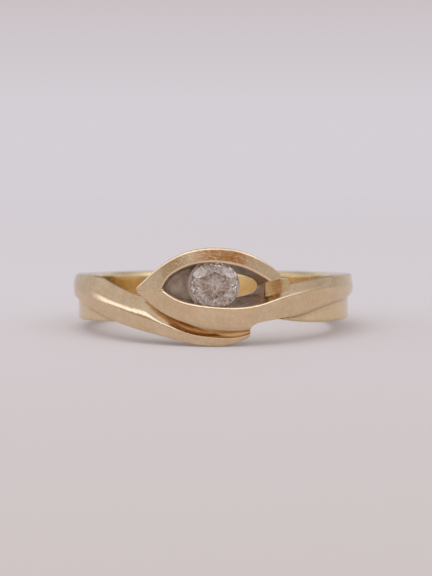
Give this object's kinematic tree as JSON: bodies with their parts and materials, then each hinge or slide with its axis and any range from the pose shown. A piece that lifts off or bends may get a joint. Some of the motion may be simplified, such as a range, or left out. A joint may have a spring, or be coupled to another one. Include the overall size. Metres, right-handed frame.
{
  "type": "ring",
  "caption": "Crossover finger ring in yellow gold: two arms cross below an almond shaped eye whose lids grip a round brilliant diamond.",
  "frame": {"origin": "centre of the finger hole, midway between the flat sides of the plain band at the back", "axes": "+Z along the finger hole, towards the side where the upper lid stands; -Y towards the diamond; +X to the wearer's view right when facing the diamond"},
  "size_m": [0.021, 0.0215, 0.0068],
  "materials": {
    "yellow_gold": "polished 9 carat yellow gold with fine wear scratches",
    "yellow_gold_cast": "filed 9 carat yellow gold",
    "gold_solder": "yellow gold solder",
    "white_gold": "dull rhodium plated white gold, rough from casting",
    "diamond": "faceted clear diamond with a faint brown tint"
  },
  "bodies": {
    "root": {"shank": "yellow_gold", "left_arm": "yellow_gold", "right_arm": "yellow_gold", "upper_lid": "yellow_gold", "base_plate": "yellow_gold_cast", "stone_seat": "white_gold", "diamond": "diamond", "mitre_solder": "gold_solder", "groove_solder": "gold_solder", "left_shoulder_solder": "gold_solder", "right_shoulder_solder": "gold_solder"}
  },
  "joints": []
}
